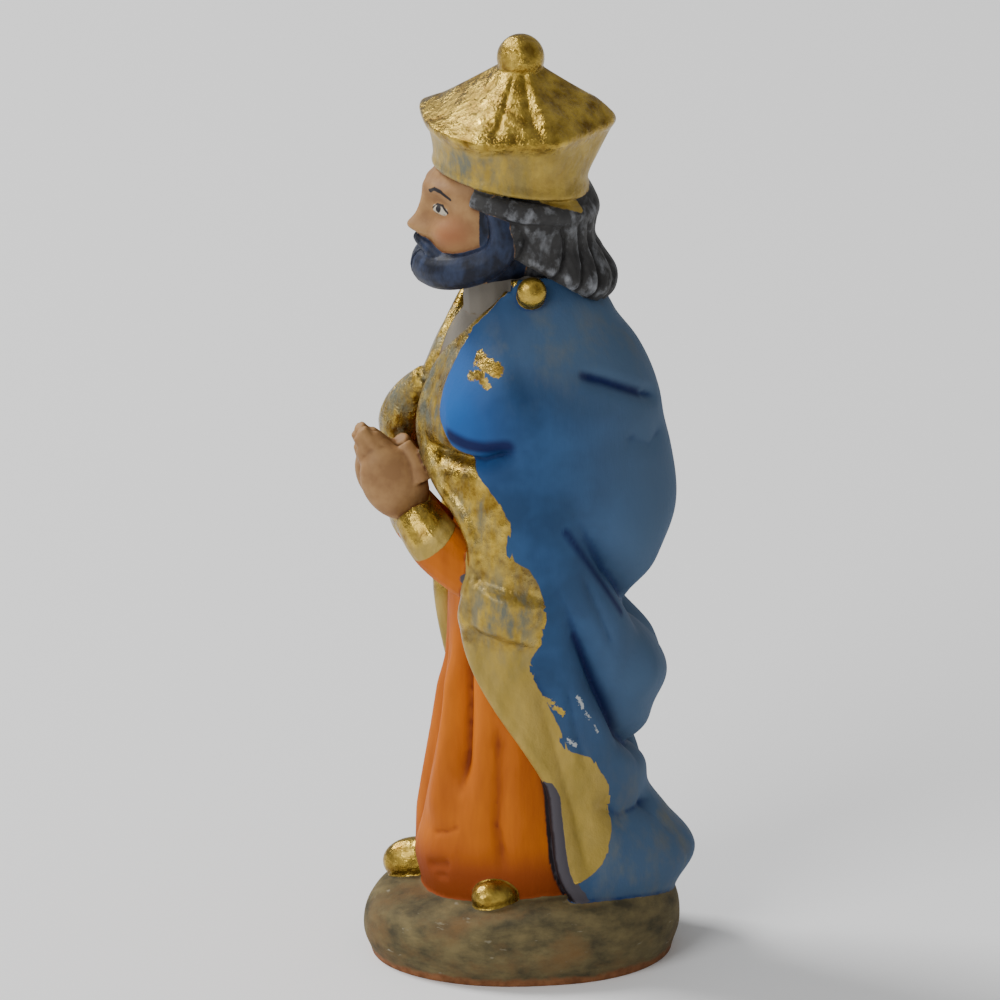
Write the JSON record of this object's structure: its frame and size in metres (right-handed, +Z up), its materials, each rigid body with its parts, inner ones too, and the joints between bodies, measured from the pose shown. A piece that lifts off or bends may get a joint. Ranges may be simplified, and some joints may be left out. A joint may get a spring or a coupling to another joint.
{
  "type": "nativity wise man figurine",
  "caption": "Small painted clay figurine of a crowned, bearded wise man in a long cloak, hands joined in prayer, standing on a low mound.",
  "frame": {"origin": "on the flat underside, on the figure's own upright axis", "axes": "+Z up through the figure, -Y the way the figure faces, +X the figure's left"},
  "size_m": [0.0295, 0.036, 0.1],
  "materials": {
    "painted_clay": "fired terracotta under matt water paints, with bronze-gold paint on the crown, borders, cuffs and shoes"
  },
  "bodies": {
    "root": {"wise_man": "painted_clay"}
  },
  "joints": []
}
